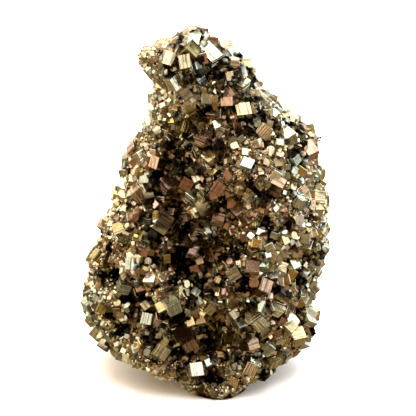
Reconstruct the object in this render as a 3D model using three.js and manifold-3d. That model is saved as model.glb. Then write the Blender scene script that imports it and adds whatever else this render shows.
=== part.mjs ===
/**
 * A pyrite specimen: a pear-shaped lump of massive pyrite that stands on a trimmed foot, with the
 * best of its crystals as separate pieces, each seated in a socket of its own shape.
 *
 * Units are millimetres and +Z is up. The lump stands on z = 0 and its show face looks along -Y,
 * with +X to the right of someone who looks at that face. The narrow end is the crown, the wide
 * end is the belly, and the flat that it stands on is the foot.
 */
import * as THREE from "three";
import { mergeVertices } from "three/addons/utils/BufferGeometryUtils.js";
import { ConvexGeometry } from "three/addons/geometries/ConvexGeometry.js";
import { ImprovedNoise } from "three/addons/math/ImprovedNoise.js";
import Module from "manifold-3d";

const wasm = await Module();
wasm.setup();

// Driving dimensions of the lump, in millimetres.
const HEIGHT = 94;
const WIDTH = 64;
const DEPTH = 46;

// The clear space left all round a crystal in its socket, and between neighbouring crystals.
const SOCKET_GAP = 0.3;

// How finely the lump is faceted: rings from foot to crown, and corners in each ring.
const RINGS = 46;
const CORNERS = 84;

// How square the lump's level sections are: 2 is an ellipse, and more is squarer.
const SECTION_POWER = 2.1;

// Where the four sides of the lump are at each height, as shares of HEIGHT, WIDTH and DEPTH.
const SECTIONS = [
  { height: 0, left: -0.14, right: 0.22, front: -0.5, back: 0.32 },
  { height: 0.028, left: -0.22, right: 0.28, front: -0.52, back: 0.38 },
  { height: 0.053, left: -0.315, right: 0.345, front: -0.53, back: 0.42 },
  { height: 0.085, left: -0.42, right: 0.39, front: -0.53, back: 0.45 },
  { height: 0.15, left: -0.49, right: 0.45, front: -0.53, back: 0.48 },
  { height: 0.23, left: -0.51, right: 0.455, front: -0.53, back: 0.49 },
  { height: 0.32, left: -0.475, right: 0.475, front: -0.52, back: 0.49 },
  { height: 0.436, left: -0.415, right: 0.5, front: -0.5, back: 0.48 },
  { height: 0.53, left: -0.36, right: 0.485, front: -0.47, back: 0.46 },
  { height: 0.62, left: -0.325, right: 0.443, front: -0.43, back: 0.42 },
  { height: 0.68, left: -0.285, right: 0.447, front: -0.4, back: 0.38 },
  { height: 0.735, left: -0.215, right: 0.385, front: -0.355, back: 0.34 },
  { height: 0.787, left: -0.205, right: 0.28, front: -0.31, back: 0.3 },
  { height: 0.84, left: -0.19, right: 0.21, front: -0.27, back: 0.27 },
  { height: 0.893, left: -0.235, right: 0.175, front: -0.25, back: 0.24 },
  { height: 0.936, left: -0.24, right: 0.105, front: -0.2, back: 0.19 },
  { height: 0.957, left: -0.19, right: 0.05, front: -0.16, back: 0.15 },
  { height: 0.978, left: -0.1, right: 0.005, front: -0.1, back: 0.09 },
  { height: 1, left: -0.065, right: -0.025, front: -0.03, back: 0.03 },
];

// The valley that runs down the show face, as broad hollows, and the vugs in and round it. Each is
// centred on the front (or back) face at x and z, is about twice its reach across, and is sunk
// towards the lump's core.
const HOLLOWS = [
  { x: -9, z: 63, reach: 7, sunk: 2.5 },
  { x: -7, z: 53, reach: 9, sunk: 3 },
  { x: 0, z: 43, reach: 9, sunk: 3 },
  { x: 1, z: 32, reach: 8, sunk: 3 },
  { x: 3, z: 18, reach: 6, sunk: 3 },
  { x: -8.6, z: 70, reach: 3, sunk: 5 },
  { x: -9, z: 63.5, reach: 3.2, sunk: 6 },
  { x: -12, z: 52, reach: 4.4, sunk: 7 },
  { x: -3, z: 57, reach: 2.6, sunk: 4 },
  { x: 3, z: 64, reach: 2.4, sunk: 4 },
  { x: 6.5, z: 52.5, reach: 3.4, sunk: 6 },
  { x: 13, z: 48, reach: 3, sunk: 3 },
  { x: 6.5, z: 41, reach: 2.8, sunk: 4.5 },
  { x: -1, z: 38, reach: 4.4, sunk: 9 },
  { x: -9, z: 39, reach: 3.6, sunk: 6 },
  { x: -25.5, z: 31.5, reach: 3.4, sunk: 5 },
  { x: -22, z: 39, reach: 2.8, sunk: 4 },
  { x: -19, z: 27, reach: 2.6, sunk: 4 },
  { x: -19.5, z: 20, reach: 2.8, sunk: 4 },
  { x: 2.6, z: 23, reach: 3, sunk: 5 },
  { x: 2.6, z: 15.5, reach: 3.4, sunk: 6 },
  { x: 2.4, z: 7, reach: 2.8, sunk: 3.5 },
  { x: -9.5, z: 1.5, reach: 6, sunk: 4 },
  { x: 15, z: 1.5, reach: 5, sunk: 3 },
  { x: 23.4, z: 35, reach: 3.6, sunk: 5 },
  { x: 17.4, z: 10.5, reach: 2.8, sunk: 3.5 },
  { x: 25, z: 18, reach: 3, sunk: 4 },
  { x: 0.6, z: 84.5, reach: 2.8, sunk: 4 },
  { x: 8.6, z: 79, reach: 2.4, sunk: 3.5 },
  { x: 1.8, z: 75, reach: 2.4, sunk: 3.5 },
  { x: 19.5, z: 73, reach: 2.6, sunk: 2.5 },
  { x: 12, z: 30, reach: 8, sunk: 3, side: "back" },
  { x: -12, z: 50, reach: 7, sunk: 2.5, side: "back" },
  { x: 4, z: 62, reach: 6, sunk: 2.5, side: "back" },
];

// Lobes that stand out of the lump, in the same terms.
const LOBES = [
  { x: 12, z: 60, reach: 5.5, raised: 2.4 },
  { x: -11.5, z: 76.5, reach: 4.4, raised: 2.4 },
  { x: -7, z: 28.5, reach: 6, raised: 3 },
  { x: -13, z: 14, reach: 6, raised: 2 },
  { x: -27, z: 24, reach: 5, raised: 1.4 },
  { x: 12, z: 40, reach: 5, raised: 2.4 },
  { x: 12, z: 21, reach: 5.5, raised: 2 },
  { x: 24, z: 45, reach: 8, raised: 1.6 },
  { x: -17, z: 44, reach: 5, raised: 1.8 },
  { x: -4, z: 88, reach: 4, raised: 1.4 },
  { x: -15, z: 87.5, reach: 3, raised: 2 },
  { x: -6, z: 36, reach: 9, raised: 2.2, side: "back" },
  { x: 10, z: 48, reach: 8, raised: 2, side: "back" },
  { x: 0, z: 14, reach: 8, raised: 1.6, side: "back" },
];

// The lump's uneven skin: each octave's size across and how far it moves the surface.
const OCTAVES = [
  { across: 13, moves: 1.5 },
  { across: 5.5, moves: 0.9 },
];

// The crystals big enough to be pieces of their own. Each is centred on the lump's skin at x and
// z, is "across" wide and "long" times that in its longest direction, and is turned by three
// angles in degrees about X, Y and Z.
const CRYSTALS = [
  { name: "crown_cube_1", x: 1.4, z: 88.6, across: 3.7, long: 1.5, turned: [-48, -40, 7] },
  { name: "crown_cube_2", x: -8.6, z: 88.2, across: 2.9, long: 1.2, turned: [-27, 20, -18] },
  { name: "crown_cube_3", x: -3.2, z: 91.4, across: 2.8, long: 1.6, turned: [-50, 13, 1] },
  { name: "crown_cube_4", x: -8, z: 83, across: 3.6, turned: [12, -28, 40] },
  { name: "crown_pyritohedron_1", x: 7.4, z: 86, across: 3.8, turned: [40, 15, 5] },
  { name: "crown_cube_5", x: 10, z: 81, across: 3.3, turned: [30, 8, -40] },
  { name: "crown_cube_6", x: -4.9, z: 87.6, across: 2.9, long: 1.3, turned: [-40, -8, -12] },
  { name: "neck_cube_1", x: 9.4, z: 75, across: 3.7, turned: [-53, -11, 3] },
  { name: "neck_cube_2", x: 6.4, z: 79.4, across: 2.8, long: 1.4, turned: [-44, -30, -20] },
  { name: "neck_cube_3", x: 14.8, z: 70.5, across: 3.3, turned: [-22, 40, 15] },
  { name: "neck_cube_4", x: -0.5, z: 69.3, across: 3.3, turned: [15, 5, -32] },
  { name: "neck_cube_5", x: -6, z: 71, across: 3.6, turned: [-30, 18, 22] },
  { name: "neck_pyritohedron_1", x: -12.4, z: 68.5, across: 3.8, turned: [10, 35, 50] },
  { name: "shoulder_cube_1", x: 21.5, z: 68, across: 3.3, turned: [25, -10, 35] },
  { name: "shoulder_cube_2", x: 27, z: 63.5, across: 3.2, long: 1.3, turned: [-51, -30, 3] },
  { name: "shoulder_cube_3", x: 10.2, z: 63.2, across: 2.9, turned: [-54, 22, 3] },
  { name: "shoulder_cube_4", x: 17, z: 57.4, across: 3.3, long: 1.35, turned: [32, 14, -25] },
  { name: "shoulder_cube_5", x: 29.5, z: 50.5, across: 3.2, turned: [-28, 1, 27] },
  { name: "shoulder_pyritohedron_1", x: 23, z: 52, across: 4.1, turned: [-15, 22, 18] },
  { name: "valley_cube_1", x: 0.7, z: 64.2, across: 3.1, turned: [38, -12, 42] },
  { name: "valley_cube_2", x: 3.2, z: 57.3, across: 3.1, turned: [-12, 33, -8] },
  { name: "valley_cube_3", x: -1.2, z: 54.2, across: 2.7, turned: [28, 5, 30] },
  { name: "valley_cube_4", x: 2.8, z: 48.4, across: 2.9, turned: [-40, 10, 12] },
  { name: "valley_cube_5", x: -3.8, z: 45.3, across: 3.1, turned: [6, 26, 24] },
  { name: "valley_cube_6", x: 7.4, z: 34.6, across: 3.2, turned: [-18, -30, 8] },
  { name: "flank_cube_1", x: -13.3, z: 55.6, across: 3.8, turned: [35, 12, 38] },
  { name: "flank_cube_2", x: -8, z: 56.4, across: 3.1, turned: [-25, 30, 14] },
  { name: "flank_cube_3", x: -18.4, z: 53, across: 3.1, turned: [14, -35, 20] },
  { name: "flank_cube_4", x: -14, z: 61.5, across: 3.1, turned: [-10, 15, 44] },
  { name: "flank_cube_5", x: -13, z: 46.6, across: 3.7, turned: [22, 28, -18] },
  { name: "flank_cube_6", x: -23, z: 42.8, across: 2.9, turned: [-38, -15, -17] },
  { name: "flank_pyritohedron_1", x: -18, z: 47.8, across: 3.6, turned: [5, 50, 12] },
  { name: "flank_cube_7", x: -8, z: 42, across: 2.8, turned: [-28, 8, -36] },
  { name: "flank_cube_8", x: -21.8, z: 29.5, across: 3.1, turned: [16, 20, 8] },
  { name: "flank_cube_9", x: -28.4, z: 33.5, across: 3.1, turned: [-32, 36, 30] },
  { name: "flank_cube_10", x: -31.5, z: 20.5, across: 3.3, turned: [24, -16, 42] },
  { name: "flank_twin_1", x: -28.5, z: 14, across: 3.3, turned: [10, 38, -22] },
  { name: "belly_twin_1", x: -0.4, z: 25.6, across: 3.6, turned: [-21, 35, -21] },
  { name: "belly_cube_1", x: -7.6, z: 28, across: 3.5, turned: [14, -12, 26] },
  { name: "belly_cube_2", x: -14.8, z: 22.4, across: 2.9, turned: [-30, 13, -17] },
  { name: "belly_cube_3", x: -10.6, z: 15, across: 3.8, turned: [8, 30, -14] },
  { name: "belly_cube_4", x: -4.6, z: 16.6, across: 3.6, turned: [30, -22, 20] },
  { name: "belly_cube_5", x: 7.8, z: 17, across: 3.3, turned: [-14, 10, 38] },
  { name: "belly_cube_6", x: 11.6, z: 15.6, across: 3.2, turned: [-20, -15, 28] },
  { name: "belly_cube_7", x: 12.4, z: 22.6, across: 3.6, turned: [20, -34, 16] },
  { name: "belly_cube_8", x: 15.1, z: 31, across: 3.4, turned: [-37, 17, 29] },
  { name: "belly_cube_9", x: 18, z: 24.5, across: 3.2, turned: [12, 42, 24] },
  { name: "belly_cube_10", x: 24.6, z: 13.4, across: 3.6, turned: [34, 6, 18] },
  { name: "belly_pyritohedron_1", x: 30.4, z: 36, across: 3.8, turned: [-8, 28, 40] },
  { name: "foot_cube_1", x: 11, z: 8.6, across: 3.3, turned: [-18, 26, 12] },
  { name: "foot_cube_2", x: 18.2, z: 8, across: 3.2, turned: [26, 14, 36] },
  { name: "foot_cube_3", x: -3, z: 8.4, across: 3.5, turned: [-34, -10, 22] },
  { name: "back_cube_1", x: -8, z: 60, side: "back", across: 3.8, turned: [18, 32, 12] },
  { name: "back_cube_2", x: 10, z: 44, side: "back", across: 4, turned: [-24, 10, 34] },
  { name: "back_pyritohedron_1", x: -14, z: 31, side: "back", across: 4.2, turned: [12, 8, 26] },
  { name: "back_cube_3", x: 11, z: 18, side: "back", across: 3.6, turned: [36, -20, 8] },
];

// Each habit's own metallic tone: fresh cubes are pale brass, the rest are browner or greyer.
const TONES = { cube: 0xbfae82, pyritohedron: 0x8f7a5c, twin: 0xc9bd9a };
const MATRIX_TONE = 0x6f604a;

// A pyritohedron's two kinds of corner, as shares of its width from its middle.
const CUBE_CORNER = 1 / 3;
const ROOF_CORNER = { high: 1 / 2, low: 1 / 4 };

// A twin's second cube: its size, its shift and its turn, as shares of the first or in degrees.
const TWIN = { size: 0.72, shift: [0.42, -0.34, 0.3], turned: [28, 18, 40] };

// How each kind of surface takes the light in the plain CAD view.
const METALNESS = 0.9;
const ROUGHNESS = { crystal: 0.3, matrix: 0.45 };

// The relief moves the skin by no more than this share of the lump's radius there.
const MOST_RELIEF = 0.6;

// Corners nearer than this are one corner, in millimetres.
const SAME_CORNER = 1e-4;

const noise = new ImprovedNoise();
const sides = new THREE.CubicInterpolant(
  SECTIONS.map((s) => s.height * HEIGHT),
  SECTIONS.flatMap((s) => [s.left * WIDTH, s.right * WIDTH, s.front * DEPTH, s.back * DEPTH]),
  4,
);

/** The level section at height z: its middle and its half width and depth. */
function sectionAt(z) {
  const [left, right, front, back] = sides.evaluate(THREE.MathUtils.clamp(z, 0, HEIGHT));
  return {
    middleX: (left + right) / 2,
    middleY: (front + back) / 2,
    halfWidth: (right - left) / 2,
    halfDepth: (back - front) / 2,
  };
}

/** The point on the smooth lump's front or back at x and z. */
function facePoint({ x, z, side = "front" }) {
  const s = sectionAt(z);
  const across = Math.min(Math.abs((x - s.middleX) / s.halfWidth), 1);
  const out = s.halfDepth * (1 - across ** SECTION_POWER) ** (1 / SECTION_POWER);
  return new THREE.Vector3(x, s.middleY + (side === "back" ? out : -out), z);
}

const RELIEF = [
  ...HOLLOWS.map((h) => ({ at: facePoint(h), reach: h.reach, height: -h.sunk })),
  ...LOBES.map((l) => ({ at: facePoint(l), reach: l.reach, height: l.raised })),
];

/** How far the lump's skin stands out of the smooth lump at a point on it. */
function reliefAt(point) {
  let height = 0;
  for (const r of RELIEF) {
    height += r.height * Math.exp(-point.distanceToSquared(r.at) / r.reach ** 2);
  }
  for (const o of OCTAVES) {
    height += o.moves * noise.noise(point.x / o.across, point.y / o.across, point.z / o.across);
  }
  return height;
}

/** The point on the lump's skin at height z, in the direction turn about its core. */
function skinPoint(z, turn) {
  const s = sectionAt(z);
  const [c, n] = [Math.cos(turn), Math.sin(turn)];
  const squared =
    Math.abs(c / s.halfWidth) ** SECTION_POWER + Math.abs(n / s.halfDepth) ** SECTION_POWER;
  const radius = squared ** (-1 / SECTION_POWER);
  const smooth = new THREE.Vector3(s.middleX + radius * c, s.middleY + radius * n, z);
  const most = radius * MOST_RELIEF;
  const moved = radius + THREE.MathUtils.clamp(reliefAt(smooth), -most, most);
  return new THREE.Vector3(s.middleX + moved * c, s.middleY + moved * n, z);
}

/** The lump as a closed geometry: rings of corners, closed by a flat foot and the crown's tip. */
function lumpGeometry() {
  const points = [];
  for (let ring = 0; ring < RINGS; ring++) {
    for (let corner = 0; corner < CORNERS; corner++) {
      points.push(skinPoint((HEIGHT * ring) / RINGS, (2 * Math.PI * corner) / CORNERS));
    }
  }
  const foot = sectionAt(0);
  const crown = sectionAt(HEIGHT);
  const footMiddle = points.push(new THREE.Vector3(foot.middleX, foot.middleY, 0)) - 1;
  const tip = points.push(new THREE.Vector3(crown.middleX, crown.middleY, HEIGHT)) - 1;

  const faces = [];
  for (let corner = 0; corner < CORNERS; corner++) {
    const next = (corner + 1) % CORNERS;
    for (let ring = 0; ring < RINGS - 1; ring++) {
      const [low, high] = [ring * CORNERS, (ring + 1) * CORNERS];
      faces.push(low + corner, low + next, high + next);
      faces.push(low + corner, high + next, high + corner);
    }
    const top = (RINGS - 1) * CORNERS;
    faces.push(footMiddle, next, corner);
    faces.push(top + corner, top + next, tip);
  }
  const geometry = new THREE.BufferGeometry().setFromPoints(points);
  geometry.setIndex(faces);
  return geometry;
}

/** A manifold-3d solid of a closed geometry. */
function solidOf(geometry) {
  const bare = new THREE.BufferGeometry();
  bare.setAttribute("position", geometry.getAttribute("position"));
  bare.setIndex(geometry.getIndex());
  const merged = mergeVertices(bare, SAME_CORNER);
  return new wasm.Manifold(
    new wasm.Mesh({
      numProp: 3,
      vertProperties: new Float32Array(merged.getAttribute("position").array),
      triVerts: new Uint32Array(merged.getIndex().array),
    }),
  );
}

/** The flat-shaded geometry of a manifold-3d solid. */
function geometryOf(solid) {
  const mesh = solid.getMesh();
  const geometry = new THREE.BufferGeometry();
  geometry.setAttribute("position", new THREE.BufferAttribute(mesh.vertProperties, 3));
  geometry.setIndex(new THREE.BufferAttribute(mesh.triVerts, 1));
  const faceted = geometry.toNonIndexed();
  faceted.computeVertexNormals();
  return faceted;
}

/** A block as a solid, in its own frame. */
function blockSolid(across, long) {
  return solidOf(new THREE.BoxGeometry(across, across, across * long));
}

/** A pyritohedron as a solid, in its own frame. */
function pyritohedronSolid(across) {
  const corners = [];
  for (const a of [-1, 1]) {
    for (const b of [-1, 1]) {
      const [high, low] = [a * ROOF_CORNER.high, b * ROOF_CORNER.low];
      corners.push([0, high, low], [high, low, 0], [low, 0, high]);
      for (const c of [-1, 1]) {
        corners.push([a * CUBE_CORNER, b * CUBE_CORNER, c * CUBE_CORNER]);
      }
    }
  }
  const points = corners.map((corner) => new THREE.Vector3(...corner).multiplyScalar(across));
  return solidOf(new ConvexGeometry(points));
}

/** A matrix that turns by three angles in degrees and then moves to a point. */
function placing(turned, to) {
  const angles = turned.map(THREE.MathUtils.degToRad);
  const matrix = new THREE.Matrix4().makeRotationFromEuler(new THREE.Euler(...angles));
  return matrix.setPosition(to);
}

/** The habit that a crystal's name tells. */
function habitOf({ name }) {
  return name.split("_")[1];
}

/** A crystal as a solid in its place on the lump, grown by some millimetres all round. */
function crystalSolid(crystal, grown) {
  const across = crystal.across + 2 * grown;
  const habit = habitOf(crystal);
  let solid;
  if (habit === "pyritohedron") {
    solid = pyritohedronSolid(across);
  } else {
    solid = blockSolid(across, crystal.long ?? 1);
  }
  if (habit === "twin") {
    const shift = new THREE.Vector3(...TWIN.shift).multiplyScalar(crystal.across);
    const second = blockSolid(crystal.across * TWIN.size + 2 * grown, 1);
    solid = solid.add(second.transform(placing(TWIN.turned, shift).elements));
  }
  return solid.transform(placing(crystal.turned, seatOf(crystal)).elements);
}

/** The point on the lump's skin that a crystal is centred on. */
function seatOf(crystal) {
  const s = sectionAt(crystal.z);
  const face = facePoint(crystal);
  return skinPoint(crystal.z, Math.atan2(face.y - s.middleY, face.x - s.middleX));
}

/** A named mesh of a solid. */
function piece(name, solid, color, roughness) {
  const material = new THREE.MeshStandardMaterial({ color, roughness, metalness: METALNESS });
  const mesh = new THREE.Mesh(geometryOf(solid), material);
  mesh.name = name;
  return mesh;
}

const specimen = new THREE.Group();
let lump = solidOf(lumpGeometry());
const seated = [];
for (const crystal of CRYSTALS) {
  let solid = crystalSolid(crystal, 0);
  for (const neighbour of seated) {
    solid = solid.subtract(neighbour);
  }
  specimen.add(piece(crystal.name, solid, TONES[habitOf(crystal)], ROUGHNESS.crystal));
  const socket = crystalSolid(crystal, SOCKET_GAP);
  lump = lump.subtract(socket);
  seated.push(socket);
}
specimen.add(piece("matrix", lump, MATRIX_TONE, ROUGHNESS.matrix));

// The frame's origin is under the middle of the whole specimen.
const middle = new THREE.Box3().setFromObject(specimen).getCenter(new THREE.Vector3());
for (const mesh of specimen.children) {
  mesh.geometry.translate(-middle.x, -middle.y, 0);
}

export default specimen;
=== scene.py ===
"""The looks of a pyrite specimen: a pear-shaped druse of intergrown, striated pyrite crystals.

The CAD model gives the massive body, the "matrix", and the biggest crystals, the "choice"
crystals, as pieces of their own. This script grows the druse of small crystals over the matrix,
gives the choice crystals their growth terraces, and lights them as in a studio. Lengths are in
metres, +Z is up, and the show face looks along -Y.
"""

import math
from collections import defaultdict
from itertools import product

import bmesh
import bpy
import numpy as np
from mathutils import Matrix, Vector, noise
from mathutils.bvhtree import BVHTree
from mathutils.kdtree import KDTree


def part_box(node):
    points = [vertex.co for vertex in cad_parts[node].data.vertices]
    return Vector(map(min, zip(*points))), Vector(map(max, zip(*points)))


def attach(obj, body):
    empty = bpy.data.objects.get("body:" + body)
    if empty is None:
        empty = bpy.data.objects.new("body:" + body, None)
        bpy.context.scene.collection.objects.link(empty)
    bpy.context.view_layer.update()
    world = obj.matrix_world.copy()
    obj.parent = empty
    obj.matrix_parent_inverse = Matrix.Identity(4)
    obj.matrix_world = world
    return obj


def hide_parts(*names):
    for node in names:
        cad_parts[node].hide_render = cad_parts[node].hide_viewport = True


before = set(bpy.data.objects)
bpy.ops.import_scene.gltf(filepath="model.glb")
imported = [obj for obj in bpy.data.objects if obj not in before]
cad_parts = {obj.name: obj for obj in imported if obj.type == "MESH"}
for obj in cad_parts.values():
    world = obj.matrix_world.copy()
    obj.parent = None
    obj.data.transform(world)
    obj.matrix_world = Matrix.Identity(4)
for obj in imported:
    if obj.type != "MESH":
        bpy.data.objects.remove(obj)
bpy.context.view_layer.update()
rng = np.random.default_rng(20)

MM = 0.001
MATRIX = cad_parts["matrix"]
CHOICE = {name: node for name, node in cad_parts.items() if name != "matrix"}
LOW, HIGH = (np.array(corner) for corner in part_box("matrix"))

# The druse grows in crops, the biggest crystals first: how wide they are, how much that varies
# as a share of it, how far their middles are sunk below the skin, and how many places each crop
# tries. The last crop, the crumbs, grows only where the druse is finer than this share of usual.
FINE = 0.8
CROPS = [
    {"across": 2.15 * MM, "spread": 0.3, "sunk": (0.1 * MM, 1.5 * MM), "tries": 26000},
    {"across": 1.6 * MM, "spread": 0.2, "sunk": (0.6 * MM, 1.7 * MM), "tries": 36000},
    {"across": 1.0 * MM, "spread": 0.2, "sunk": (1.0 * MM, 2.3 * MM), "tries": 44000},
    {"across": 0.7 * MM, "spread": 0.15, "sunk": (1.2 * MM, 2.2 * MM), "tries": 60000},
    {
        "across": 0.7 * MM,
        "spread": 0.15,
        "sunk": (0.0 * MM, 1.2 * MM),
        "tries": 90000,
        "finer_than": FINE,
    },
]
SMALLEST, BIGGEST = 0.45 * MM, 4.2 * MM

# The least width of a terraced crystal and of a plain one. Narrower ones are small.
TERRACED, PLAIN = 2.1 * MM, 1.2 * MM

# How much wider or narrower a crystal is along each of its own axes.
UNEVEN_AXES = (0.88, 1.14)

# How far a cube's corner may reach from its middle, as a share of its width.
CORNER_REACH = 0.87

# How far above the floor the druse's lowest corners stay, and how high the flat foot is.
FLOOR_GAP = 0.05 * MM

# How far the massive body's surface lies below the matrix's, so that the gaps are deep.
CORE_SUNK = 2.4 * MM

# How near two crystals grow, as a share of the mean of their widths, and how wide a choice
# crystal counts as, as a share of its corners' reach.
CLOSENESS = 0.72
CHOICE_ROOM = 1.25

# Where the crystals are finer or coarser than elsewhere: shares of the matrix's width and height,
# how far the patch reaches, and the crystals' size there as a share of the usual.
SIZE_PATCHES = [
    {"across": 0.32, "up": 0.81, "reach": 6 * MM, "size": 0.36},
    {"across": 0.28, "up": 0.72, "reach": 4 * MM, "size": 0.45},
    {"across": 0.67, "up": 0.65, "reach": 6 * MM, "size": 0.4},
    {"across": 0.04, "up": 0.31, "reach": 7 * MM, "size": 0.4},
    {"across": 0.12, "up": 0.44, "reach": 6 * MM, "size": 0.45},
    {"across": 0.2, "up": 0.58, "reach": 4 * MM, "size": 0.5},
    {"across": 0.27, "up": 0.94, "reach": 5 * MM, "size": 0.4},
    {"across": 0.74, "up": 0.56, "reach": 5 * MM, "size": 0.5},
    {"across": 0.12, "up": 0.16, "reach": 5 * MM, "size": 0.6},
    {"across": 0.34, "up": 0.33, "reach": 5 * MM, "size": 0.55},
    {"across": 0.66, "up": 0.43, "reach": 5 * MM, "size": 0.55},
    {"across": 0.97, "up": 0.55, "reach": 11 * MM, "size": 0.62},
    {"across": 0.28, "up": 0.08, "reach": 8 * MM, "size": 0.45},
    {"across": 0.58, "up": 0.03, "reach": 8 * MM, "size": 0.5},
    {"across": 0.5, "up": 0.96, "reach": 7 * MM, "size": 1.25},
    {"across": 0.28, "up": 0.56, "reach": 6 * MM, "size": 1.25},
    {"across": 0.36, "up": 0.2, "reach": 6 * MM, "size": 1.15},
    {"across": 0.75, "up": 0.22, "reach": 7 * MM, "size": 1.1},
]

# The vugs: small hollows in the druse of the show face, painted black inside as shade. Shares of
# the matrix's width and height, how far each reaches, and how far the druse is sunk in its middle.
VUGS = [
    {"across": 0.36, "up": 0.69, "reach": 3.2 * MM, "sunk": 2.0 * MM},
    {"across": 0.40, "up": 0.64, "reach": 3.3 * MM, "sunk": 2.5 * MM},
    {"across": 0.31, "up": 0.62, "reach": 3.0 * MM, "sunk": 1.5 * MM},
    {"across": 0.38, "up": 0.52, "reach": 3.0 * MM, "sunk": 2.0 * MM},
    {"across": 0.32, "up": 0.47, "reach": 3.2 * MM, "sunk": 2.5 * MM},
    {"across": 0.43, "up": 0.48, "reach": 2.9 * MM, "sunk": 2.0 * MM},
    {"across": 0.30, "up": 0.40, "reach": 2.9 * MM, "sunk": 2.0 * MM},
    {"across": 0.41, "up": 0.39, "reach": 4.0 * MM, "sunk": 3.0 * MM},
    {"across": 0.48, "up": 0.34, "reach": 3.3 * MM, "sunk": 2.5 * MM},
    {"across": 0.07, "up": 0.31, "reach": 2.6 * MM, "sunk": 1.5 * MM},
    {"across": 0.27, "up": 0.28, "reach": 3.0 * MM, "sunk": 2.0 * MM},
    {"across": 0.27, "up": 0.23, "reach": 2.6 * MM, "sunk": 1.5 * MM},
    {"across": 0.57, "up": 0.51, "reach": 2.6 * MM, "sunk": 1.5 * MM},
    {"across": 0.92, "up": 0.37, "reach": 2.6 * MM, "sunk": 1.5 * MM},
    {"across": 0.91, "up": 0.29, "reach": 2.8 * MM, "sunk": 1.5 * MM},
    {"across": 0.53, "up": 0.90, "reach": 2.2 * MM, "sunk": 1.5 * MM},
    {"across": 0.68, "up": 0.85, "reach": 3.0 * MM, "sunk": 1.5 * MM},
    {"across": 0.50, "up": 0.80, "reach": 2.6 * MM, "sunk": 1.5 * MM},
    {"across": 0.42, "up": 0.14, "reach": 2.6 * MM, "sunk": 1.5 * MM},
    {"across": 0.58, "up": 0.12, "reach": 2.2 * MM, "sunk": 1.0 * MM},
    {"across": 0.23, "up": 0.25, "reach": 2.8 * MM, "sunk": 1.5 * MM},
    {"across": 0.52, "up": 0.15, "reach": 2.6 * MM, "sunk": 1.5 * MM},
    {"across": 0.14, "up": 0.32, "reach": 2.6 * MM, "sunk": 1.5 * MM},
    {"across": 0.61, "up": 0.42, "reach": 2.8 * MM, "sunk": 1.5 * MM},
]

# The tones of pyrite's metallic faces, from fresh pale brass to tarnished bronze, and how usual
# each is where the faces are fresh and where they are tarnished.
TONES = [
    ("#DAD6BE", 0.36, 0.16),
    ("#C8BB92", 0.20, 0.20),
    ("#BCA28E", 0.08, 0.32),
    ("#A58F76", 0.08, 0.14),
    ("#AA9C68", 0.06, 0.16),
    ("#BAC4B6", 0.22, 0.08),
]

# The tarnish is heaviest in the middle of the show face: its place as shares of the matrix's
# width and height, and how far it reaches each way.
TARNISH = {"across": 0.4, "up": 0.45, "wide": 17 * MM, "tall": 24 * MM}

# How much darker or brighter than its tone a crystal is, and a pitted one over again.
TONE_SPREAD = (0.76, 1.12)
PITTED_SPREAD = (0.4, 1.6)

# Painted shade. In the gaps it starts this far below the skin, and is full this far below it.
PAINTED_SHADE = "#0E0803"
SHADE_FROM, SHADE_TO = 0.4 * MM, 1.5 * MM
GAP_SHADE = 0.97

# In the vugs and pits the painted shade starts at the first of these, out of 1 for the most shut
# in, and grows to its full share over the second. Some crystals glint there, with less of it.
VUG_SHADE_FROM, VUG_SHADE_OVER = 0.4, 0.22
VUG_SHADE = 0.98
GLINTS = {"share": 0.25, "painted_shade": 0.45}

# A spot of the skin is shut in where rays from just above it meet the skin again: how many
# rays there are, how far above it they start and how far they go.
SHUT_RAYS = {"count": 40, "from": 1.2 * MM, "reach": 18 * MM}

# The share of rays met at which a spot starts to count as shut in, over how much more it comes
# to its full, how shut in that is next to the middle of a vug, which is 1, and how much smaller
# the most shut in crystals are.
SHUT_FROM, SHUT_OVER = 0.55, 0.4
SHUT_SHARE = 0.6
SHUT_SHRINK = 0.58


def linear(code):
    """The linear colour, with alpha, of an sRGB hex code."""
    channels = [int(code[i : i + 2], 16) / 255 for i in (1, 3, 5)]
    return [c / 12.92 if c <= 0.04045 else ((c + 0.055) / 1.055) ** 2.4 for c in channels] + [1.0]


# Crystal habits ------------------------------------------------------------------------------
# A habit is a closed shape about two units wide with flat faces: its points, its faces as rings
# of point numbers, and for each face the unit direction that its growth lines run in.


def growth_line(normal):
    """The axis that the growth lines run along on a face: at right angles from face to face."""
    line = np.zeros(3)
    line[(int(np.argmax(np.abs(normal))) + 1) % 3] = 1.0
    line -= normal * np.dot(line, normal)
    return line / np.linalg.norm(line)


def mirrored(normal, distance):
    """Every plane that a plane's sign changes and cyclic turns make."""
    planes = set()
    for turn in range(3):
        n = np.roll(normal, turn)
        for signs in np.ndindex(2, 2, 2):
            flipped = n * (1 - 2 * np.array(signs))
            planes.add((*(float(x) + 0.0 for x in flipped), distance))
    return sorted(planes)


# The width of the block that every habit is cut from, and how near two of its corners are one.
BLOCK = 6
SAME_POINT = 1e-5


def cut_habit(*forms):
    """The shape inside every plane of these forms, each a normal and its distance."""
    bm = bmesh.new()
    bmesh.ops.create_cube(bm, size=BLOCK)
    for x, y, z, distance in [plane for form in forms for plane in mirrored(*form)]:
        normal = Vector((x, y, z)).normalized()
        everything = bm.verts[:] + bm.edges[:] + bm.faces[:]
        cut = bmesh.ops.bisect_plane(
            bm, geom=everything, plane_co=normal * distance, plane_no=normal, clear_outer=True
        )
        ring = [e for e in cut["geom_cut"] if isinstance(e, bmesh.types.BMEdge)]
        if ring:
            bmesh.ops.contextual_create(bm, geom=ring)
    bmesh.ops.remove_doubles(bm, verts=bm.verts, dist=SAME_POINT)
    bmesh.ops.recalc_face_normals(bm, faces=bm.faces)
    bm.verts.index_update()
    habit = {
        "points": np.array([v.co for v in bm.verts]),
        "faces": [[v.index for v in f.verts] for f in bm.faces],
        "lines": [growth_line(np.array(f.normal)) for f in bm.faces],
    }
    bm.free()
    return habit


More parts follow.
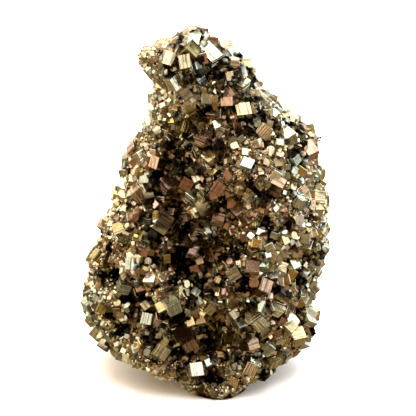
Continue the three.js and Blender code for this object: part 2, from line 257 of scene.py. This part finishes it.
# Growth terraces: how far out they lie on a face, where the last of them may start, and how
# narrow they may be, as shares of the face's half width; how long they are as a share of its
# half length; and how much shorter their tops are than their feet.
TERRACE_END = 0.92
TERRACE_LAST = 0.7
TERRACE_NARROWEST = 0.08
TERRACE_LENGTH = (0.82, 0.94)
TERRACE_TOP = 0.985

# The widths, gaps and heights of the terraces on the druse's cubes, for a face two units wide.
DRUSE_TERRACES = {"widths": (0.12, 0.5), "gaps": (0.1, 0.8), "heights": (0.006, 0.018)}

# The same on the choice crystals, but for the heights, which are true sizes.
CHOICE_TERRACES = {"widths": (0.12, 0.4), "gaps": (0.05, 0.3), "heights": (0.02 * MM, 0.06 * MM)}

# How far out a terrace's foot is on a face one unit from the middle, a little inside it.
TERRACE_SEAT = 0.999


def add_terrace(habit, centre, normal, line, size):
    """Adds a low flat step on a face: size is its half length, half width and height."""
    half_length, half_width, height = size
    side = np.cross(normal, line)
    first = len(habit["points"])
    corners = [(-1, -1), (1, -1), (1, 1), (-1, 1)]
    low = [centre + line * a * half_length + side * b * half_width for a, b in corners]
    inset = 1 - height / half_width
    high = [
        centre
        + normal * height
        + line * a * half_length * TERRACE_TOP
        + side * b * half_width * inset
        for a, b in corners
    ]
    habit["points"] = np.vstack([habit["points"], low, high])
    habit["faces"].append([first + 4, first + 5, first + 6, first + 7])
    habit["lines"].append(line)
    for k in range(4):
        nxt = (k + 1) % 4
        habit["faces"].append([first + k, first + nxt, first + 4 + nxt, first + 4 + k])
        habit["lines"].append(line)


def lay_terraces(habit, middle, normal, line, half, terraces):
    """Lays low steps side by side across a face, each along the face's growth line. Half is the
    face's half length and half width."""
    side = np.cross(normal, line)
    edge = -TERRACE_END
    while edge < TERRACE_LAST:
        far = min(edge + rng.uniform(*terraces["widths"]), TERRACE_END)
        if far - edge > TERRACE_NARROWEST:
            centre = middle + side * (edge + far) / 2 * half[1]
            length = half[0] * rng.uniform(*TERRACE_LENGTH)
            size = (length, (far - edge) / 2 * half[1], rng.uniform(*terraces["heights"]))
            add_terrace(habit, centre, normal, line, size)
        edge = far + rng.uniform(*terraces["gaps"])


def terraced_cube(chamfer):
    """A chamfered cube with growth terraces across its six faces."""
    habit = cut_habit(((1, 0, 0), 1.0), ((1, 1, 0), math.sqrt(2) * (1 - chamfer)))
    for axis in range(3):
        for sign in (-1.0, 1.0):
            normal = np.zeros(3)
            normal[axis] = sign
            seat = normal * TERRACE_SEAT
            lay_terraces(habit, seat, normal, growth_line(normal), (1, 1), DRUSE_TERRACES)
    return habit


# The habits of each family of crystals: cubes with chamfered edges, cubes cut by a pyritohedron
# or an octahedron, and a pyritohedron cut by a cube.
CUBE = ((1, 0, 0), 1.0)
HABITS = {
    "terraced": [terraced_cube(chamfer) for chamfer in (0.03, 0.04, 0.05, 0.03, 0.06)],
    "plain": [
        cut_habit(CUBE, ((1, 1, 0), math.sqrt(2) * 0.96)),
        cut_habit(CUBE, ((1, 2, 0), 1.27)),
        cut_habit(CUBE, ((1, 1, 1), 1.42)),
        cut_habit(((1, 2, 0), 1.0), ((1, 0, 0), 1.06)),
    ],
    "small": [cut_habit(CUBE), cut_habit(CUBE, ((1, 1, 1), 1.5))],
}


# The places that the crystals grow from ------------------------------------------------------


def random_turns(count):
    """Evenly random rotation matrices."""
    q = rng.normal(size=(count, 4))
    w, x, y, z = (q / np.linalg.norm(q, axis=1, keepdims=True)).T
    rows = [
        [1 - 2 * (y * y + z * z), 2 * (x * y - z * w), 2 * (x * z + y * w)],
        [2 * (x * y + z * w), 1 - 2 * (x * x + z * z), 2 * (y * z - x * w)],
        [2 * (x * z - y * w), 2 * (y * z + x * w), 1 - 2 * (x * x + y * y)],
    ]
    return np.array(rows).transpose(2, 0, 1)


MATRIX.data.calc_loop_triangles()
SKIN = np.array([v.co for v in MATRIX.data.vertices])
SKIN_FACES = np.array([t.vertices for t in MATRIX.data.loop_triangles])


def choice_seats():
    """The middle and reach of each choice crystal."""
    seats = []
    for name, node in CHOICE.items():
        corners = np.array([v.co for v in node.data.vertices])
        low, high = (np.array(corner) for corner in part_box(name))
        middle = (low + high) / 2
        seats.append((middle, np.linalg.norm(corners - middle, axis=1).max()))
    return seats


def shut_in_map():
    """A tree of the skin's points away from the sockets, and how shut in each is, from 0 to 1."""
    skin = BVHTree.FromPolygons(SKIN.tolist(), SKIN_FACES.tolist())
    clear = np.ones(len(SKIN), bool)
    for middle, reach in SEATS:
        clear &= np.linalg.norm(SKIN - middle, axis=1) > reach
    normals = np.zeros_like(SKIN)
    a, b, c = (SKIN[SKIN_FACES[:, k]] for k in range(3))
    for k in range(3):
        np.add.at(normals, SKIN_FACES[:, k], np.cross(b - a, c - a))
    normals /= np.linalg.norm(normals, axis=1, keepdims=True)
    rays = rng.normal(size=(SHUT_RAYS["count"], 3))
    rays /= np.linalg.norm(rays, axis=1, keepdims=True)
    tree, shares = KDTree(int(clear.sum())), []
    for k in np.flatnonzero(clear):
        start = Vector(SKIN[k] + normals[k] * SHUT_RAYS["from"])
        ways = rays * np.sign(rays @ normals[k])[:, None]
        met = [skin.ray_cast(start, Vector(way), SHUT_RAYS["reach"])[0] for way in ways]
        tree.insert(SKIN[k], len(shares))
        shares.append(sum(hit is not None for hit in met) / len(rays))
    tree.balance()
    return tree, shares


def shut_in(spots):
    """How shut in the skin is at each of these spots, from 0 in the open to 1 in a deep vug: the
    mean of its three nearest points."""
    tree, shares = SHUT_IN
    found = []
    for spot in spots:
        near = tree.find_n(spot, 3)
        found.append(sum(shares[index] for _, index, _ in near) / len(near))
    return np.array(found)


SEATS = choice_seats()
SHUT_IN = shut_in_map()


def skin_spots(count):
    """Evenly random spots on the matrix, with the outward normals there."""
    a, b, c = (SKIN[SKIN_FACES[:, k]] for k in range(3))
    normals = np.cross(b - a, c - a)
    areas = np.linalg.norm(normals, axis=1)
    picked = rng.choice(len(areas), count, p=areas / areas.sum())
    u, v = rng.random((2, count, 1))
    over = u + v > 1
    u, v = np.where(over, 1 - u, u), np.where(over, 1 - v, v)
    spots = a[picked] + u * (b - a)[picked] + v * (c - a)[picked]
    return spots, normals[picked] / areas[picked][:, None]


# Little pits all over the druse but for the crown, which is close-grown: how far across they
# are, the noise that they start and are full at, how deep they are, how high up they end as a
# share of the matrix's height, and over how much of it they fade.
PITTING = {
    "across": 4.5 * MM,
    "from": 0.2,
    "to": 0.38,
    "sunk": 1.8 * MM,
    "up_to": 0.85,
    "fade": 0.1,
}


def near_patch(spots, patch, reach):
    """How near these spots are to a patch of the show face, from 0 to 1 in its middle."""
    x = LOW[0] + patch["across"] * (HIGH[0] - LOW[0])
    z = LOW[2] + patch["up"] * (HIGH[2] - LOW[2])
    near = np.exp(-((spots[:, 0] - x) ** 2 + (spots[:, 2] - z) ** 2) / reach**2)
    return np.where(spots[:, 1] < 0, near, 0)


def vugs_at(spots):
    """How deep in a vug these spots are, from 0 to 1, and how far the druse is sunk there."""
    deep, sunk = np.zeros(len(spots)), np.zeros(len(spots))
    for vug in VUGS:
        near = near_patch(spots, vug, vug["reach"])
        deep = np.maximum(deep, near**2)
        sunk = np.maximum(sunk, near * vug["sunk"])
    rough = np.array([noise.noise(Vector(spot) / PITTING["across"]) for spot in spots])
    pitted = np.clip((rough - PITTING["from"]) / (PITTING["to"] - PITTING["from"]), 0, 1)
    up = (spots[:, 2] - LOW[2]) / (HIGH[2] - LOW[2])
    pitted *= np.clip((PITTING["up_to"] - up) / PITTING["fade"], 0, 1)
    return np.maximum(deep, pitted), np.maximum(sunk, pitted * PITTING["sunk"])


def size_at(spots):
    """How big the crystals are at these spots, as a share of the usual size."""
    share = np.ones(len(spots))
    for patch in SIZE_PATCHES:
        share *= 1 - near_patch(spots, patch, patch["reach"]) * (1 - patch["size"])
    return share


class Bed:
    """The spots already taken, kept by the cell that each is in."""

    # How wide a cell is, and the steps to it and its neighbours.
    CELL = 2.5 * MM
    NEIGHBOURS = list(product((-1, 0, 1), repeat=3))

    def __init__(self):
        self.cells = defaultdict(list)

    def add(self, spot, across):
        """Takes a spot for a crystal this wide."""
        self.cells[tuple((spot // self.CELL).astype(int))].append((*spot, across))

    def free(self, spot, across):
        """True if a crystal this wide isn't too near one already there."""
        x, y, z = spot
        i, j, k = (spot // self.CELL).astype(int)
        for cell in self.NEIGHBOURS:
            for px, py, pz, other in self.cells.get((i + cell[0], j + cell[1], k + cell[2]), ()):
                gap = CLOSENESS * (across + other) / 2
                if (x - px) ** 2 + (y - py) ** 2 + (z - pz) ** 2 < gap * gap:
                    return False
        return True


def grow_places():
    """The druse's crystals: their middles, widths, outward directions, how far they are sunk, how
    shut in they are, and how big crystals are there as a share of the usual size."""
    bed = Bed()
    for middle, reach in SEATS:
        bed.add(middle, CHOICE_ROOM * reach)
    grown = []
    for crop in CROPS:
        spots, normals = skin_spots(crop["tries"])
        deep, sunk = vugs_at(spots)
        walled = np.clip((shut_in(spots) - SHUT_FROM) / SHUT_OVER, 0, 1)
        shut = np.maximum(SHUT_SHARE * walled, deep)
        size = size_at(spots)
        across = crop["across"] * size * np.exp(rng.normal(0, crop["spread"], len(spots)))
        across = np.clip(across * (1 - SHUT_SHRINK * shut), SMALLEST, BIGGEST)
        inset = rng.uniform(*crop["sunk"], len(spots)) * np.minimum(size, 1) ** 1.5
        middles = spots - normals * (inset + sunk)[:, None]
        clear = middles[:, 2] - CORNER_REACH * across > FLOOR_GAP
        fits = clear & (size < crop.get("finer_than", math.inf))
        for k in np.flatnonzero(fits):
            if bed.free(middles[k], across[k]):
                bed.add(middles[k], across[k])
                grown.append((middles[k], across[k], normals[k], inset[k], shut[k], size[k]))
    return [np.array(column) for column in zip(*grown)]


# Materials -----------------------------------------------------------------------------------


def material(name):
    """A new material with no nodes yet, and its node tree."""
    made = bpy.data.materials.new(name)
    made.use_nodes = True
    tree = made.node_tree
    tree.nodes.clear()
    return made, tree


def add_node(tree, kind, settings=(), values=(), links=()):
    """Adds a node, sets its settings and its sockets' values, and links sockets into it."""
    node = tree.nodes.new(kind)
    for key, value in dict(settings).items():
        setattr(node, key, value)
    for socket, value in dict(values).items():
        node.inputs[socket].default_value = value
    for socket, source in dict(links).items():
        tree.links.new(source, node.inputs[socket])
    return node


# The marks that pyrite's faces grew with: how many there are to a millimetre, how deep they are
# and how long for their width. Real growth lines are ten or more to a millimetre. These are as
# coarse as they need to be to show.
GROWTH_LINES = {"per_mm": 2.2, "depth": 0.012 * MM, "length": 20}
PITS = {"per_mm": 3.0, "depth": 0.06 * MM, "length": 1.3}

# The tarnish's uneven film: how many of its patches there are to a millimetre, the noise at which
# it is thickest and thinnest, and how dark and how pale it makes a face there.
FILM = {"per_mm": 0.7, "from": 0.3, "to": 0.7, "dark": 0.72, "pale": 1.08}

# Painted shade in the marks' grooves: the heights between which it thins out, its tone on the
# most weakly marked faces, and how much darker it is on the most strongly marked.
BANDS = {"from": 0.4, "to": 0.52, "tone": 0.92, "deeper": -0.62}

# The massive pyrite's grains: how many to a millimetre, how high, and how they are coloured from
# their middles to their edges. The near-black colours are painted shade for the gaps between
# crystals.
GRAINS = {"per_mm": 1.4, "height": 0.15 * MM, "middle": "#140E07", "edge": "#5A4A2E"}


def pyrite(name, roughness, marks):
    """Pyrite's metallic faces, marked as they grew, with a tarnish of their own tone.

    The marks are growth lines or pits a few tenths of a millimetre apart and some hundredths
    deep. They split a reflection up, and the faces are painted darker in their grooves as shade.
    """
    made, tree = material(name)
    tone = add_node(tree, "ShaderNodeAttribute", {"attribute_name": "tone"})
    depth = add_node(tree, "ShaderNodeAttribute", {"attribute_name": "ruling"})
    ruled = add_node(tree, "ShaderNodeUVMap", {"uv_map": "growth"})
    stretch = add_node(
        tree,
        "ShaderNodeMapping",
        values={"Scale": (marks["per_mm"], marks["per_mm"] / marks["length"], 1.0)},
        links={"Vector": ruled.outputs["UV"]},
    )
    lines = add_node(
        tree,
        "ShaderNodeTexNoise",
        {"noise_dimensions": "2D"},
        {"Scale": 1.0, "Detail": 3.0, "Roughness": 0.65},
        {"Vector": stretch.outputs["Vector"]},
    )
    bump = add_node(
        tree,
        "ShaderNodeBump",
        values={"Distance": marks["depth"]},
        links={"Height": lines.outputs["Fac"], "Strength": depth.outputs["Fac"]},
    )
    film = add_node(
        tree,
        "ShaderNodeTexNoise",
        {"noise_dimensions": "2D"},
        {"Scale": FILM["per_mm"], "Detail": 4.0},
        {"Vector": ruled.outputs["UV"]},
    )
    shade = add_node(
        tree,
        "ShaderNodeMapRange",
        values={
            "From Min": FILM["from"],
            "From Max": FILM["to"],
            "To Min": FILM["dark"],
            "To Max": FILM["pale"],
        },
        links={"Value": film.outputs["Fac"]},
    )
    # Painted shade: faces darker in the grooves of their marks, the more so the more strongly
    # marked.
    darkest = add_node(
        tree,
        "ShaderNodeMath",
        {"operation": "MULTIPLY_ADD"},
        {1: BANDS["deeper"], 2: BANDS["tone"]},
        {0: depth.outputs["Fac"]},
    )
    groove_shade = add_node(
        tree,
        "ShaderNodeMapRange",
        values={"From Min": BANDS["from"], "From Max": BANDS["to"], "To Max": 1.0},
        links={"Value": lines.outputs["Fac"], "To Min": darkest.outputs["Value"]},
    )
    tarnish_and_groove_shade = add_node(
        tree,
        "ShaderNodeMath",
        {"operation": "MULTIPLY"},
        links={0: shade.outputs["Result"], 1: groove_shade.outputs["Result"]},
    )
    coloured = add_node(
        tree,
        "ShaderNodeVectorMath",
        {"operation": "SCALE"},
        links={0: tone.outputs["Color"], "Scale": tarnish_and_groove_shade.outputs["Value"]},
    )
    surface = add_node(
        tree,
        "ShaderNodeBsdfPrincipled",
        values={"Metallic": 1.0, "Roughness": roughness},
        links={"Base Color": coloured.outputs["Vector"], "Normal": bump.outputs["Normal"]},
    )
    add_node(tree, "ShaderNodeOutputMaterial", links={"Surface": surface.outputs["BSDF"]})
    return made


def massive(name):
    """Massive pyrite where no crystal stands free: granular, dull, iron-oxide brown darkened as
    painted shade.
    """
    made, tree = material(name)
    place = add_node(tree, "ShaderNodeTexCoord")
    grains = add_node(
        tree,
        "ShaderNodeTexVoronoi",
        values={"Scale": GRAINS["per_mm"] / MM},
        links={"Vector": place.outputs["Object"]},
    )
    ramp = add_node(
        tree,
        "ShaderNodeMix",
        {"data_type": "RGBA"},
        {6: linear(GRAINS["middle"]), 7: linear(GRAINS["edge"])},
        {0: grains.outputs["Distance"]},
    )
    bump = add_node(
        tree,
        "ShaderNodeBump",
        values={"Strength": 0.8, "Distance": GRAINS["height"]},
        links={"Height": grains.outputs["Distance"]},
    )
    surface = add_node(
        tree,
        "ShaderNodeBsdfPrincipled",
        values={"Metallic": 1.0, "Roughness": 0.45},
        links={"Base Color": ramp.outputs[2], "Normal": bump.outputs["Normal"]},
    )
    add_node(tree, "ShaderNodeOutputMaterial", links={"Surface": surface.outputs["BSDF"]})
    return made


def plain(name, colour, roughness):
    """One even colour."""
    made, tree = material(name)
    values = {"Base Color": colour, "Roughness": roughness}
    surface = add_node(tree, "ShaderNodeBsdfPrincipled", values=values)
    add_node(tree, "ShaderNodeOutputMaterial", links={"Surface": surface.outputs["BSDF"]})
    return made


# Faces of the bigger crystals, which shine, and of the pitted finer ones, a little duller.
RULED_FACES = pyrite("pyrite_ruled_faces", 0.22, GROWTH_LINES)
PITTED_FACES = pyrite("pyrite_pitted_faces", 0.24, PITS)
MASSIVE = massive("massive_pyrite")

# Uncoated paper: flat and even, so that only soft shadows show on it.
PAPER = plain("pale_paper", linear("#F2F1EF"), 0.7)


# Growing the pieces --------------------------------------------------------------------------


def show(name, mesh, body_slot, *nodes):
    """Puts a mesh in the scene as a piece of the specimen that replaces these CAD nodes."""
    piece = bpy.data.objects.new(name, mesh)
    bpy.context.scene.collection.objects.link(piece)
    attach(piece, "root")
    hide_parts(*nodes)


def face_normal(shape, ring):
    """The outward unit normal of a face."""
    a, b, c = (shape[k] for k in ring[:3])
    normal = np.cross(b - a, c - b)
    return normal / np.linalg.norm(normal)


def face_map(habit):
    """How far across and along its face's growth lines each corner of each face lies."""
    shape = habit["points"]
    rows = []
    for ring, line in zip(habit["faces"], habit["lines"]):
        across = np.cross(line, face_normal(shape, ring))
        rows.append(np.stack([shape[ring] @ across, shape[ring] @ line], axis=1))
    return np.concatenate(rows)


def grown_points(group):
    """The points of a group's crystals, and their tones, with painted shade the deeper they are."""
    grown = group["habit"]["points"][None] * group["halves"][:, None, :]
    grown = np.einsum("cij,cpj->cpi", group["turns"], grown)
    deep = group["inset"][:, None] - np.einsum("cpi,ci->cp", grown, group["normals"])
    # Painted shade: the deeper below the skin a point lies, the nearer its tone is to near black.
    much = np.clip((deep - SHADE_FROM) / (SHADE_TO - SHADE_FROM), 0, 1)[..., None]
    much = much * GAP_SHADE
    tones = group["tones"][:, None, :] * (1 - much) + np.array(linear(PAINTED_SHADE)[:3]) * much
    return (grown + group["middles"][:, None, :]).reshape(-1, 3), tones.reshape(-1, 3)


# Over how many millimetres of the marks' pattern the crystals are spread, so that no two match.
FAR_APART = 60

# How much of its cell of the bake map each crystal takes.
CELL_SHARE = 0.8


def crystal_mesh(name, groups):
    """One mesh of many crystals. Each group is a habit and its crystals' places, half widths
    along their own axes, turns and tones."""
    made = defaultdict(list)
    cells = math.ceil(math.sqrt(sum(len(g["middles"]) for g in groups)))
    first, number = 0, 0
    for g in groups:
        count, size = len(g["middles"]), len(g["habit"]["points"])
        points, tones = grown_points(g)
        made["points"].append(points)
        made["tones"].append(np.hstack([tones, np.ones((len(tones), 1))]))
        made["ruling"].append(np.repeat(g["ruling"], size))
        ring = np.concatenate(g["habit"]["faces"])
        starts = first + np.arange(count)[:, None] * size
        made["corners"].append((ring[None] + starts).ravel())
        made["counts"].append(np.tile([len(f) for f in g["habit"]["faces"]], count))
        made["pitted"].append(np.repeat(g["pitted"].astype(int), len(g["habit"]["faces"])))
        mapped = face_map(g["habit"])
        width = g["halves"].mean(axis=1)[:, None, None] / MM
        offset = rng.uniform(0, FAR_APART, (count, 1, 2))
        made["growth"].append((mapped[None] * width + offset).reshape(-1, 2))
        order = np.arange(number, number + count)
        cell = np.stack([order % cells, order // cells], axis=1)
        within = 0.5 + CELL_SHARE / 2 * np.clip(mapped, -1, 1)
        made["OFBake"].append(((cell[:, None, :] + within[None]) / cells).reshape(-1, 2))
        first += count * size
        number += count
    made = {key: np.concatenate(parts) for key, parts in made.items()}
    mesh = bpy.data.meshes.new(name)
    mesh.vertices.add(len(made["points"]))
    mesh.vertices.foreach_set("co", made["points"].ravel())
    mesh.loops.add(len(made["corners"]))
    mesh.loops.foreach_set("vertex_index", made["corners"])
    mesh.polygons.add(len(made["counts"]))
    mesh.polygons.foreach_set("loop_start", np.cumsum(made["counts"]) - made["counts"])
    for layer in ("growth", "OFBake"):
        mesh.uv_layers.new(name=layer).uv.foreach_set("vector", made[layer].ravel())
    # The tones carry the painted shade of the gaps, vugs and pits.
    tone = mesh.attributes.new("tone", "FLOAT_COLOR", "POINT")
    tone.data.foreach_set("color", made["tones"].ravel())
    ruling = mesh.attributes.new("ruling", "FLOAT", "POINT")
    ruling.data.foreach_set("value", made["ruling"])
    mesh.update(calc_edges=True)
    mesh.shade_flat()
    mesh.materials.append(RULED_FACES)
    mesh.materials.append(PITTED_FACES)
    mesh.polygons.foreach_set("material_index", made["pitted"])
    return mesh


def pick_tones(middles, shut):
    """A tone for each crystal, browner and darker the more it is shut in, as painted shade."""
    x = LOW[0] + TARNISH["across"] * (HIGH[0] - LOW[0])
    z = LOW[2] + TARNISH["up"] * (HIGH[2] - LOW[2])
    wide = (middles[:, 0] - x) / TARNISH["wide"]
    tall = (middles[:, 2] - z) / TARNISH["tall"]
    dull = np.where(middles[:, 1] < 0, np.exp(-(wide**2 + tall**2)), 0)[:, None]
    colours = np.array([linear(code)[:3] for code, _, _ in TONES])
    fresh, tarnished = (np.array([tone[k] for tone in TONES]) for k in (1, 2))
    usual = np.cumsum(fresh / fresh.sum() * (1 - dull) + tarnished / tarnished.sum() * dull, axis=1)
    tones = colours[(rng.random((len(middles), 1)) > usual[:, :-1]).sum(axis=1)]
    tones = tones * rng.uniform(*TONE_SPREAD, (len(middles), 1))
    # Painted shade in the vugs and pits: the more shut in a crystal is, the nearer its tone is to
    # near black.
    painted_shade = np.array(linear(PAINTED_SHADE)[:3])
    much = np.clip((shut - VUG_SHADE_FROM) / VUG_SHADE_OVER, 0, 1)[:, None] * VUG_SHADE
    glints = rng.random((len(middles), 1)) < GLINTS["share"]
    much = np.where(glints, GLINTS["painted_shade"] * much, much)
    return np.clip(tones * (1 - much) + painted_shade * much, 0, 1)


# Where the crown, the shoulder and the belly start, as shares of the matrix's height. The foot is
# below them.
LEVELS = {"crown": 0.8, "shoulder": 0.45, "belly": 0.22}


def zone_of(middle):
    """The part of the specimen that a crystal is on, which is the piece that it goes into."""
    up = (middle[2] - LOW[2]) / (HIGH[2] - LOW[2])
    level = next((name for name, start in LEVELS.items() if up > start), "foot")
    side = "left" if middle[0] < (LOW[0] + HIGH[0]) / 2 else "right"
    face = "front" if middle[1] < (LOW[1] + HIGH[1]) / 2 else "back"
    return level if level == "crown" else f"{level}_{side}_{face}"


# The share of the wide crystals that have no terraces, and a number that each family's count of
# habits divides, so that its habits are equally usual.
SMOOTH_SHARE = 0.3
VARIANTS = 60


def grow_druse():
    """The druse, as one piece for each zone."""
    middles, across, normals, inset, shut, size = grow_places()
    pitted = (across < PLAIN) | (size < FINE)
    tones = pick_tones(middles, shut)
    turns = random_turns(len(middles))
    uneven = rng.uniform(*PITTED_SPREAD, (len(middles), 1))
    tones = np.clip(tones * np.where(pitted[:, None], uneven, 1), 0, 1)
    ruling = rng.random(len(middles)) ** 1.5
    halves = across[:, None] / 2 * rng.uniform(*UNEVEN_AXES, (len(middles), 3))
    families = np.where(across > TERRACED, "terraced", np.where(across > PLAIN, "plain", "small"))
    plainer = (families == "terraced") & (rng.random(len(middles)) < SMOOTH_SHARE)
    families[plainer] = "plain"
    variant = rng.integers(0, VARIANTS, len(middles))
    zones = np.array([zone_of(m) for m in middles])
    crystals = {
        "middles": middles,
        "halves": halves,
        "turns": turns,
        "tones": tones,
        "ruling": ruling,
        "normals": normals,
        "inset": inset,
        "pitted": pitted,
    }
    for zone in sorted(set(zones)):
        groups = []
        for family, habits in HABITS.items():
            for k, habit in enumerate(habits):
                mine = (zones == zone) & (families == family) & (variant % len(habits) == k)
                if mine.any():
                    picked = {key: column[mine] for key, column in crystals.items()}
                    groups.append({"habit": habit, **picked})
        show(f"druse_{zone}", crystal_mesh(f"druse_{zone}", groups), "massive_pyrite", "matrix")


def matrix_core():
    """The matrix's own surface, sunk below the druse, flat on the floor at its foot."""
    mesh = MATRIX.data.copy()
    mesh.name = "massive_core"
    normals = np.array([v.normal for v in mesh.vertices])
    points = np.array([v.co for v in mesh.vertices])
    foot = points[:, 2] < FLOOR_GAP
    points = points - normals * (CORE_SUNK + vugs_at(points)[1])[:, None]
    points[foot, 2] = 0
    points[:, 2] = np.maximum(points[:, 2], 0)
    mesh.vertices.foreach_set("co", points.ravel())
    mesh.materials.clear()
    mesh.materials.append(MASSIVE)
    show("massive_core", mesh, "massive_pyrite", "matrix")


# Corners nearer than this are one, and faces that turn less than this, in radians, are one.
SAME_CORNER = 0.01 * MM
SAME_FACE = 0.03

# Growth lines on neighbouring faces that are more nearly parallel than this cosine are turned.
PARALLEL = 0.7

# How far inside its face a terrace's foot is.
SEAT_DEPTH = 0.001 * MM


def choice_crystal(node):
    """A choice crystal's CAD shape as a habit in metres, with growth terraces on its faces."""
    bm = bmesh.new()
    bm.from_mesh(node.data)
    bmesh.ops.remove_doubles(bm, verts=bm.verts, dist=SAME_CORNER)
    bmesh.ops.dissolve_limit(bm, angle_limit=SAME_FACE, verts=bm.verts, edges=bm.edges)
    bm.normal_update()
    bm.verts.index_update()
    shape = np.array([v.co for v in bm.verts])
    rings = [[v.index for v in f.verts] for f in bm.faces]
    normals = [np.array(f.normal) for f in bm.faces]
    bm.free()
    habit = {"points": shape, "faces": [list(ring) for ring in rings], "lines": []}
    for ring, normal in zip(rings, normals):
        edges = [shape[b] - shape[a] for a, b in zip(ring, ring[1:] + ring[:1])]
        line = max(edges, key=np.linalg.norm)
        line = line / np.linalg.norm(line)
        if habit["lines"] and abs(line @ habit["lines"][-1]) > PARALLEL:
            line = np.cross(normal, line)
        habit["lines"].append(line)
    for ring, normal, line in zip(rings, normals, list(habit["lines"])):
        if len(ring) == 4:
            middle = shape[ring].mean(axis=0)
            out = shape[ring] - middle
            half = (np.abs(out @ line).max(), np.abs(out @ np.cross(normal, line)).max())
            seat = middle - normal * SEAT_DEPTH
            lay_terraces(habit, seat, normal, line, half, CHOICE_TERRACES)
    return habit


# How strongly marked the choice crystals' faces are, out of 1.
CHOICE_RULING = (0.5, 1)

# The record's material slot for each habit that a choice crystal's name tells.
BODY_SLOTS = {
    "cube": "pyrite_cubes",
    "pyritohedron": "pyrite_pyritohedra",
    "twin": "pyrite_twins",
}


def grow_choice():
    """Each choice crystal as a piece of its own."""
    for name, node in CHOICE.items():
        habit = choice_crystal(node)
        low, high = (np.array(corner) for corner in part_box(name))
        middle = (low + high) / 2
        half = (high - low).max() / 2
        habit["points"] = (habit["points"] - middle) / half
        tones = pick_tones(middle[None], np.zeros(1))
        ruling = rng.uniform(*CHOICE_RULING, 1)
        # The crown's are fresh, and the most strongly marked.
        if name.startswith("crown"):
            tones = np.array([linear(TONES[0][0])[:3]])
            ruling = np.ones(1)
        group = {
            "habit": habit,
            "middles": middle[None],
            "halves": np.full((1, 3), half),
            "turns": np.eye(3)[None],
            "tones": tones,
            "ruling": ruling,
            "normals": np.zeros((1, 3)),
            "inset": np.zeros(1),
            "pitted": np.zeros(1),
        }
        mesh = crystal_mesh(f"{name}_faces", [group])
        show(f"{name}_faces", mesh, BODY_SLOTS[name.split("_")[1]], name)


grow_druse()
matrix_core()
grow_choice()


# The studio ----------------------------------------------------------------------------------


MIDDLE = Vector((0, 0, 0.045))


def soft_box(name, place, width, height, watts, colour):
    """A rectangular soft light that faces the specimen's middle."""
    lamp = bpy.data.lights.new(name, "AREA")
    lamp.shape = "RECTANGLE"
    lamp.size, lamp.size_y = width, height
    lamp.energy = watts
    lamp.color = linear(colour)[:3]
    box = bpy.data.objects.new(name, lamp)
    box.location = place
    box.rotation_mode = "QUATERNION"
    box.rotation_quaternion = (MIDDLE - Vector(place)).to_track_quat("-Z", "Y")
    bpy.context.scene.collection.objects.link(box)
    return box


# The boxes are mirrored in the crystals' faces. The wash isn't, so it lights the paper alone.
soft_box("key_box", (-0.42, -0.42, 0.5), 0.6, 0.5, 1.95, "#FFF4E2")
soft_box("right_box", (0.55, -0.3, 0.3), 0.35, 0.6, 1.3, "#EEF4FF")
soft_box("top_box", (0.05, 0.05, 0.65), 0.7, 0.5, 2.3, "#FFF8EC")
wash = soft_box("paper_wash", (0.0, -0.1, 0.9), 0.9, 0.9, 14.0, "#FFFFFF")
wash.visible_glossy = False

# The paper isn't mirrored either: faces that look down mirror the studio's light from below.
bpy.ops.mesh.primitive_plane_add(size=4)
floor = bpy.context.object
floor.name = "floor"
floor.data.materials.append(PAPER)
floor.visible_glossy = False

world = bpy.data.worlds.new("studio")
bpy.context.scene.world = world
world.use_nodes = True
sky = world.node_tree
sky.nodes.clear()
place = add_node(sky, "ShaderNodeTexCoord")
way = add_node(sky, "ShaderNodeSeparateXYZ", links={0: place.outputs["Generated"]})


def share_of(axis, low, high):
    """How far a direction lies between two values of one axis, from 0 to 1."""
    node = add_node(
        sky,
        "ShaderNodeMapRange",
        {"interpolation_type": "SMOOTHSTEP"},
        {"From Min": low, "From Max": high},
        {"Value": way.outputs[axis]},
    )
    return node.outputs["Result"]


def blend_of(share, first, second):
    """A colour that goes from the first to the second. Each is a colour or a socket."""
    ends = {6: first, 7: second}
    values = {k: v for k, v in ends.items() if isinstance(v, list)}
    links = {k: v for k, v in ends.items() if not isinstance(v, list)}
    node = add_node(sky, "ShaderNodeMix", {"data_type": "RGBA"}, values, {0: share, **links})
    return node.outputs[2]


def lit(code, times):
    """A linear colour made this many times brighter."""
    return [c * times for c in linear(code)[:3]] + [1.0]


# The studio that the crystals mirror: pale walls behind and at the sides, warmer on the left and
# cooler on the right, a dim brown room behind the camera, and less light from below.
LEFT_WALL, RIGHT_WALL = lit("#FFF0D6", 2.55), lit("#EEF4F6", 2.75)
DIM_ROOM, FROM_BELOW = lit("#AC8460", 1.45), lit("#B8A078", 1.0)
walls = blend_of(share_of("X", -0.5, 0.5), LEFT_WALL, RIGHT_WALL)
level = blend_of(share_of("Y", -0.55, -0.05), DIM_ROOM, walls)
seen = blend_of(share_of("Z", -0.3, 0.0), FROM_BELOW, level)
rays = add_node(sky, "ShaderNodeLightPath")
studio = add_node(sky, "ShaderNodeBackground", links={"Color": seen})
pale = add_node(sky, "ShaderNodeBackground", values={"Color": linear("#FAFAFA"), "Strength": 1.0})
mixed = add_node(
    sky,
    "ShaderNodeMixShader",
    links={0: rays.outputs["Is Camera Ray"], 1: studio.outputs[0], 2: pale.outputs[0]},
)
add_node(sky, "ShaderNodeOutputWorld", links={"Surface": mixed.outputs[0]})

# A long lens, a little above the specimen and looking down at its middle.
ELEVATION = math.radians(20)
DISTANCE = 0.46
AIM = Vector((0.001, 0, 0.0455))

lens = bpy.data.cameras.new("camera")
lens.lens = 150
lens.sensor_width = 36
camera = bpy.data.objects.new("camera", lens)
bpy.context.scene.collection.objects.link(camera)
bpy.context.scene.camera = camera
back = Vector((0, -math.cos(ELEVATION), math.sin(ELEVATION)))
camera.location = AIM + back * DISTANCE
camera.rotation_mode = "QUATERNION"
camera.rotation_quaternion = (-back).to_track_quat("-Z", "Y")

bpy.context.scene.view_settings.view_transform = "Standard"
